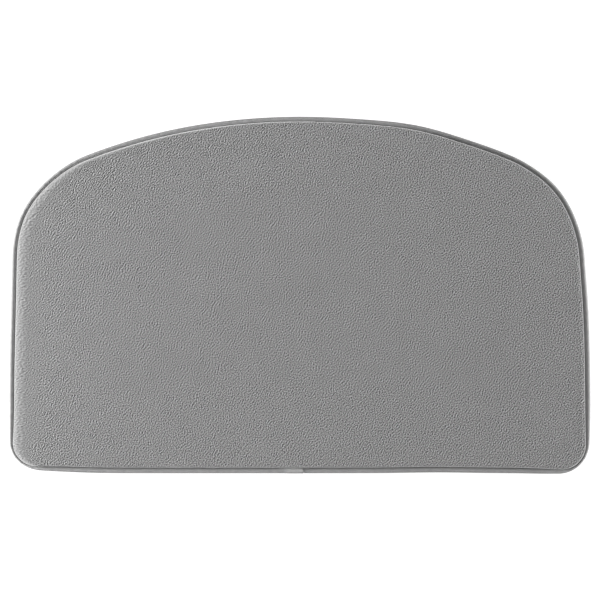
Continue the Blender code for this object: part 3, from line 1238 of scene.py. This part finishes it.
@dataclass
class BindingTape(Mat):
    """The folded tape: one strip right round the edge, with its last stretch lapped over its first."""

    seam: Seam
    finish: TapeFinish
    thickness: float = 0.55 * MM
    bead: float = 3.5 * MM
    squareness: float = 0.7
    bead_bottom: float = 0.25 * MM
    bead_top: float = 6.8 * MM
    seam_top: float = 6.1 * MM
    seam_bottom: float = 0.65 * MM
    lower_end: float = 7.6 * MM
    flare: float = 0.2 * MM
    # painted highlight: the lapped end of the tape is painted lighter
    painted_lap_highlight: float = 0.3
    dimple: float = 0.22 * MM
    pucker: float = 0.12 * MM
    station_pitch: float = 0.9 * MM
    outer_steps: int = 26
    inner_steps: int = 9
    hole_reach: float = 0.9
    pucker_middle: float = 9.0
    pucker_reach: float = 2.0
    lap_cut: float = MIDDLE_STEP
    bead_turn: float = 2.0
    # where the painted shade on the fold centres, and how far it reaches, in section steps
    fold_middle: float = 7.4
    fold_reach: float = 1.7
    wave_pitches: tuple[float, float] = (9.1 * MM, 14.3 * MM)

    def profile(self, step: Array) -> tuple[Array, Array]:
        """The tape's outer side, in steps 0 to 13 from below, round the bead, to the top.

        Steps 0 to 4 are the lower arm with its dip at the seam. Steps 4 to 10 are the bead, half a
        superellipse whose cosine and sine are raised to the squareness. Steps 10 to 13 are the upper arm
        with the seam at step 12.

        Args:
            step: the steps, as an array.

        Returns:
            The insets and the heights.
        """
        seam = self.layers.seam_inset
        angle = np.pi * (np.clip((step - BEAD_START) / (BEAD_END - BEAD_START), 0, 1) - 0.5)
        middle = (self.bead_top + self.bead_bottom) / 2
        inset = self.bead * (1 - np.cos(angle) ** self.squareness)
        sine = np.sin(angle)
        height = middle + (self.bead_top - middle) * np.sign(sine) * np.abs(sine) ** self.squareness
        lower = step < BEAD_START
        lower_inset = np.interp(step, [0, LOW_SEAM, BEAD_START], [self.lower_end, seam, self.bead])
        lower_height = ease(self.bead_bottom, self.seam_bottom, 1 - np.abs(step - LOW_SEAM) / LOW_SEAM)
        upper = step > BEAD_END
        arm = [BEAD_END, TOP_SEAM, LAST_STEP]
        upper_inset = np.interp(step, arm, [self.bead, seam, self.layers.tape_end])
        fall = (step - BEAD_END) / (TOP_SEAM - BEAD_END)
        upper_height = ease(self.bead_top, self.seam_top, fall) + ease(0, self.flare, step - TOP_SEAM)
        inset = np.where(lower, lower_inset, np.where(upper, upper_inset, inset))
        height = np.where(lower, lower_height, np.where(upper, upper_height, height))
        return inset, height

    def shares(self) -> Array:
        """Where the section's points lie along it, from 0 to 1 outside and back to 0 inside."""
        outer = np.linspace(0, 1, self.outer_steps)
        inner = np.linspace(1, 0, self.inner_steps)
        return np.concatenate([outer, inner])[None, :]

    def section(self, first_step: Array, lap_lift: Array) -> tuple[Array, ...]:
        """The tape's closed section at each station: the outer side, then the inner side back.

        The inner side is the outer one moved inwards by the thickness, along the section's normal.

        Args:
            first_step: where the section starts, one for each station.
            lap_lift: how far the bead and the upper arm are raised, one for each station.

        Returns:
            The steps, the insets and the heights, as (stations, points) arrays.
        """
        share = self.shares()
        step = first_step[:, None] + (LAST_STEP - first_step[:, None]) * share
        inset, height = self.profile(step)
        nearby = 0.02
        before, after = self.profile(step - nearby), self.profile(step + nearby)
        run, rise = after[0] - before[0], after[1] - before[1]
        length = np.hypot(run, rise)
        lift = lap_lift[:, None] * np.clip((step - BEAD_START) / (MIDDLE_STEP - BEAD_START), 0, 1)
        depth = np.where(np.arange(share.size)[None, :] < self.outer_steps, 0.0, self.thickness)
        out = lift - depth
        return step, inset - rise / length * out, height + run / length * out

    def surface(self) -> tuple[Array, Array, Array]:
        """Carry the section round the outline, from the lap's start to its end on top of itself.

        Returns:
            The points as (stations, points, 3), their UVs as metres along and across the tape, and the
            painted light of each point: painted shade on the fold, a painted highlight on the lap, and
                each side's tape painted lighter or darker.
        """
        seam, total = self.seam, self.outline.total
        ramp = total + seam.lap_start - seam.lap_ramp - seam.lap_ramp_gap
        count = math.ceil((total + seam.lap_end - seam.lap_start) / self.station_pitch)
        distance = np.linspace(seam.lap_start, total + seam.lap_end, count)
        share = np.clip((distance - ramp) / seam.lap_ramp, 0, 1)
        points, inwards = self.outline.at(distance)
        step, inset, height = self.section(self.lap_cut * share, seam.lap_lift * share)
        under = ease(1, 0, (distance - seam.lap_end) / seam.lap_end_reach)
        back_in = seam.lap_lift - seam.lap_bulge
        on_bead = ease(0, 1, (step - BEAD_START) / self.bead_turn)
        level_with_edge = back_in * np.maximum(share, under)[:, None] * on_bead
        at_top = ease(0, 1, (step - MIDDLE_STEP) / (BEAD_END - MIDDLE_STEP))
        wider = binding_scale(points, inwards)[:, None] - 1
        inset = inset * (1 + wider * on_bead)
        inset = inset + level_with_edge + (seam.shifted(distance)[:, None] - level_with_edge) * at_top
        turns = [2 * np.pi * distance / pitch for pitch in self.wave_pitches]
        waves = np.sin(turns[0]) + np.sin(turns[1] + 1)
        holes = bell(step - TOP_SEAM, self.hole_reach) - 0.5 * bell(step - LOW_SEAM, self.hole_reach)
        dip = self.dimple * seam.pull(distance)[:, None] * holes
        puckered = bell(step - self.pucker_middle, self.pucker_reach)
        height = height - dip + self.pucker * waves[:, None] * puckered
        plan = points[:, None, :] + inwards[:, None, :] * inset[..., None]
        across = np.cumsum(np.hypot(np.diff(inset[0]), np.diff(height[0])))
        uv = np.broadcast_arrays(distance[:, None], np.concatenate([[0.0], across])[None, :])
        # painted shade on the tape's fold, strongest on the front and back
        fold_shade_mask = bell(step - self.fold_middle, self.fold_reach)
        painted_light = 1 + (around(inwards, "painted_fold_shade")[:, None] - 1) * fold_shade_mask
        # each side's tape painted lighter or darker, and a painted highlight on the lap
        painted_light = painted_light * (around(inwards, "painted_side_light") * (1 + self.painted_lap_highlight * share))[:, None]
        return raised(plan, height), np.stack(uv, axis=-1), painted_light

    def build(self) -> bpy.types.Object:
        """Make the tape from its sections, and close its two ends.

        Returns:
            The binding tape.
        """
        surface, uv, painted_light = self.surface()
        quilt = Quilt(self.lie)
        grid = quilt.add_points(surface)
        quilt.add_tube(grid)
        quilt.add_cap(grid[0])
        quilt.add_cap(grid[-1][::-1])
        piece = quilt.mesh("binding_tape_cloth")
        store_uv(piece, "tape", uv.reshape(-1, 2))
        store_shade(piece, "painted_light", painted_light)
        dress(piece, self.finish.material(), "tape", "binding_tape")
        width = float(uv[0, self.outer_steps - 1, 1])
        length = float(uv[-1, 0, 0] - uv[0, 0, 0])
        return piece


class Face(Enum):
    """The two sides of the mat that a thread shows on."""

    TOP = "needle"
    UNDERSIDE = "bobbin"


@dataclass
class Thread:
    """One thread of the lockstitch: it lies on the tape, and dives into it at each needle hole."""

    tape: BindingTape
    finish: ThreadFinish
    face: Face
    radius: float = 0.2 * MM
    dive: float = 0.55 * MM
    sides: int = 6
    steps_per_stitch: int = 6

    def build(self) -> bpy.types.Object:
        """Carry a small ring along the seam.

        At the angle a round the thread its inset is seam + r cos a, and its height is the tape's height
        at the seam, plus or minus r, less the dive at the holes, plus r sin a.

        Returns:
            The thread.
        """
        tape, seam = self.tape, self.tape.seam
        distance = np.linspace(0, seam.outline.total, seam.count * self.steps_per_stitch, endpoint=False)
        points, inwards = seam.outline.at(distance)
        angle = -np.linspace(0, 2 * np.pi, self.sides, endpoint=False)
        if self.face is Face.TOP:
            scale = binding_scale(points, inwards)
            line = seam.layers.seam_inset * scale + seam.shifted(distance)
            height = tape.seam_top + self.radius + seam.lifted(distance) - self.dive * seam.pull(distance)
        else:
            line = np.full_like(distance, seam.layers.seam_inset)
            height = tape.seam_bottom - self.radius + self.dive * seam.pull(distance)
        inset = line[:, None] + self.radius * np.cos(angle)
        level = height[:, None] + self.radius * np.sin(angle)
        plan = points[:, None, :] + inwards[:, None, :] * inset[..., None]
        quilt = Quilt(tape.lie)
        ring = quilt.add_points(raised(plan, level))
        quilt.add_tube(np.concatenate([ring, ring[:1]]))
        piece = quilt.mesh(f"{self.face.value}_stitches")
        uv = np.stack(np.broadcast_arrays(distance[:, None], angle[None, :] / (2 * np.pi)), axis=-1)
        store_uv(piece, "thread", uv.reshape(-1, 2))
        return dress(piece, self.finish.material(), "thread", f"{self.face.value}_thread")


@dataclass
class FoamCore(Mat):
    """The memory foam: full height inside, pinched thin where the binding is sewn through it."""

    finish: FoamFinish
    stations: int = 700
    rim_inset: float = 1.6 * MM
    pinched_top: float = 3.3 * MM
    roll_start: float = 9.4 * MM
    roll_width: float = 22 * MM
    roll_rings: int = 9

    def build(self) -> bpy.types.Object:
        """Rings from the middle of the top, down the roll and round the rim, to the underside.

        On the roll, at an angle a, the inset is start + w (1 - cos a) and the height is
        pinched + (top - pinched) sin a.

        Returns:
            The foam.
        """
        layers = self.layers
        angle = np.linspace(np.pi / 2, 0, self.roll_rings)
        insets = self.roll_start + self.roll_width * (1 - np.cos(angle))
        heights = self.pinched_top + (layers.foam_top - self.pinched_top) * np.sin(angle)
        insets = np.concatenate([insets, [layers.seam_inset, self.rim_inset, self.rim_inset]])
        heights = np.concatenate([heights, [self.pinched_top] * 2, [layers.foam_bottom]])
        distance = np.linspace(0, self.outline.total, self.stations, endpoint=False)
        points, inwards = self.outline.at(distance)
        plan = points[None] + inwards[None] * insets[:, None, None]
        quilt = Quilt(self.lie)
        rings = quilt.add_points(raised(plan, heights[:, None]))
        for near, far in zip(rings[:-1], rings[1:]):
            quilt.add_loop(far, near)
        quilt.add_cap(rings[0])
        quilt.add_cap(rings[-1][::-1])
        piece = dress(quilt.mesh("foam_block"), self.finish.material(), "foam", "foam_core")
        return piece


@dataclass
class Backing(Mat):
    """The knitted backing cloth, and the soft dots of grip printed on it."""

    cloth_finish: BackingFinish
    grip_finish: GripFinish
    columns: int = 200
    rows: int = 124
    rim_inset: float = 2.2 * MM
    dot_pitch: float = 10 * MM
    dot_radius: float = 1.5 * MM
    dot_margin: float = 10.6 * MM
    dot_sides: int = 8
    dot_taper: tuple[float, ...] = (0.5, 0.88, 1.0)
    dot_levels: tuple[float, ...] = (0.0, 0.3, 1.0)

    def build_cloth(self) -> bpy.types.Object:
        """A thin flat sheet of the mat's shape, closed round its rim.

        Returns:
            The backing cloth.
        """
        plan = self.outline.grid(self.columns, self.rows, self.rim_inset)
        quilt = Quilt(self.lie)
        top = quilt.add_points(raised(plan, self.layers.base_top))
        base = quilt.add_points(raised(plan, self.layers.base_bottom))
        quilt.add_slab(top, base)
        piece = dress(quilt.mesh("backing_cloth"), self.cloth_finish.material(), "backing", "base_cloth")
        distance = self.outline.rim(self.columns, self.rows)
        points, inwards = self.outline.at(distance)
        edge = points + inwards * self.rim_inset
        following = np.roll(edge, -1, axis=0)
        area = 0.5 * float(np.sum(edge[:, 0] * following[:, 1] - edge[:, 1] * following[:, 0]))
        return piece

    def dot_places(self) -> Array:
        """The dots' centres: rows a half of root 3 pitches apart, every second one half a pitch along."""
        half = self.outline.width / 2
        across = np.arange(-half, half, self.dot_pitch)
        along = np.arange(self.outline.front, self.outline.back, self.dot_pitch * math.sqrt(3) / 2)
        x, y = np.meshgrid(across, along)
        x = x + self.dot_pitch / 2 * (np.arange(len(along)) % 2)[:, None]
        places = np.stack([x, y], axis=-1).reshape(-1, 2)
        return places[self.outline.inset(places)[0] > self.dot_margin]

    def build_grip(self) -> bpy.types.Object:
        """Every dot a squat cone of rings under the cloth, standing on the floor.

        Returns:
            The dots, as one piece.
        """
        places = self.dot_places()
        angle = np.linspace(0, 2 * np.pi, self.dot_sides, endpoint=False)
        radii = self.dot_radius * np.array(self.dot_taper)
        levels = self.layers.base_bottom * np.array(self.dot_levels)
        circle = np.stack([np.cos(angle), np.sin(angle)], axis=-1)
        plan = places[:, None, None, :] + radii[None, :, None, None] * circle[None, None]
        quilt = Quilt(self.lie)
        rings = quilt.add_points(raised(plan, levels[:, None]))
        near, far = rings[:, :-1], rings[:, 1:]
        turned = np.roll(near, -1, axis=-1), np.roll(far, -1, axis=-1)
        quilt.quads.append(np.stack([near, turned[0], turned[1], far], axis=-1).reshape(-1, 4))
        quilt.caps.extend(rings[:, 0, ::-1])
        quilt.caps.extend(rings[:, -1])
        return dress(quilt.mesh("grip_dots"), self.grip_finish.material(), "grip", "grip_layer")


# ---- The studio ----


@dataclass(frozen=True)
class Softbox:
    """A soft rectangular light: its bearing and elevation in degrees, its distance, size and watts."""

    name: str
    bearing: float
    elevation: float
    distance: float
    size: tuple[float, float]
    power: float

    def place(self) -> Vector:
        """Where it hangs: distance * (cos e cos b, cos e sin b, sin e)."""
        bearing, elevation = math.radians(self.bearing), math.radians(self.elevation)
        flat = math.cos(elevation)
        return self.distance * Vector(
            (flat * math.cos(bearing), flat * math.sin(bearing), math.sin(elevation))
        )


@dataclass
class Studio:
    """The floor, the soft lights and the camera that looks straight down."""

    lens: float = 85.0
    sensor: float = 36.0
    view_width: float = 825.7 * MM
    view_place: tuple[float, float] = (0.5 * MM, -6.5 * MM)
    subject_height: float = 3.0 * MM
    ambient: float = 0.2
    floor_reach: float = 6.0
    softboxes: tuple[Softbox, ...] = (
        Softbox("left_key", 176, 15, 3.3, (1.4, 0.6), 302.0),
        Softbox("right_fill", 5, 7, 3.0, (1.6, 0.5), 135.0),
        Softbox("front_fill", 272, 16, 3.0, (1.6, 0.7), 22.0),
        Softbox("overhead", 150, 70, 2.8, (2.2, 2.2), 14.0),
    )

    def floor(self) -> None:
        """A wide flat floor under the mat."""
        reach = self.floor_reach
        mesh = bpy.data.meshes.new("studio_floor")
        corners = [(-reach, -reach, 0.0), (reach, -reach, 0.0), (reach, reach, 0.0), (-reach, reach, 0.0)]
        mesh.from_pydata(corners, [], [(0, 1, 2, 3)])
        piece = added("studio_floor", mesh)
        mesh.materials.append(FloorFinish().material())

    def camera(self) -> None:
        """A long lens straight above, so that the mat fills the frame's width."""
        data = bpy.data.cameras.new("camera")
        data.lens = self.lens
        data.sensor_width = self.sensor
        height = self.view_width * self.lens / self.sensor + self.subject_height
        camera = added("camera", data)
        camera.location = (*self.view_place, height)
        bpy.context.scene.camera = camera

    def light(self, softbox: Softbox) -> None:
        """Hang one softbox and aim it at the mat's middle.

        Args:
            softbox: the light.
        """
        data = bpy.data.lights.new(softbox.name, "AREA")
        data.shape = "RECTANGLE"
        data.size, data.size_y = softbox.size
        data.energy = softbox.power
        lamp = added(softbox.name, data)
        lamp.location = softbox.place()
        lamp.rotation_euler = lamp.location.to_track_quat("Z", "Y").to_euler()

    def build(self) -> None:
        """Set the whole studio up."""
        self.floor()
        self.camera()
        for softbox in self.softboxes:
            self.light(softbox)
        world = bpy.data.worlds.new("studio")
        bpy.context.scene.world = world
        world.use_nodes = True
        background = world.node_tree.nodes["Background"]
        background.inputs["Color"].default_value = (1.0, 1.0, 1.0, 1.0)
        background.inputs["Strength"].default_value = self.ambient
        bpy.context.scene.view_settings.view_transform = "Standard"


def main() -> None:
    """Build the studio and every piece of the mat."""
    logging.basicConfig(level=logging.INFO, format="%(name)s %(message)s")
    low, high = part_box("binding_tape")
    outline = Outline(high[0] - low[0], low[1] + CAD_LAP_LIFT, high[1])
    layers = Layers.from_frame()
    shared = outline, layers, Lie()
    Studio().build()
    PlushFace(*shared, PlushFinish()).build()
    FoamCore(*shared, FoamFinish()).build()
    backing = Backing(*shared, BackingFinish(), GripFinish())
    backing.build_cloth()
    backing.build_grip()
    tape = BindingTape(*shared, Seam(outline, layers), TapeFinish())
    tape.build()
    for face in Face:
        Thread(tape, ThreadFinish(), face).build()


if __name__ == "__main__":
    main()
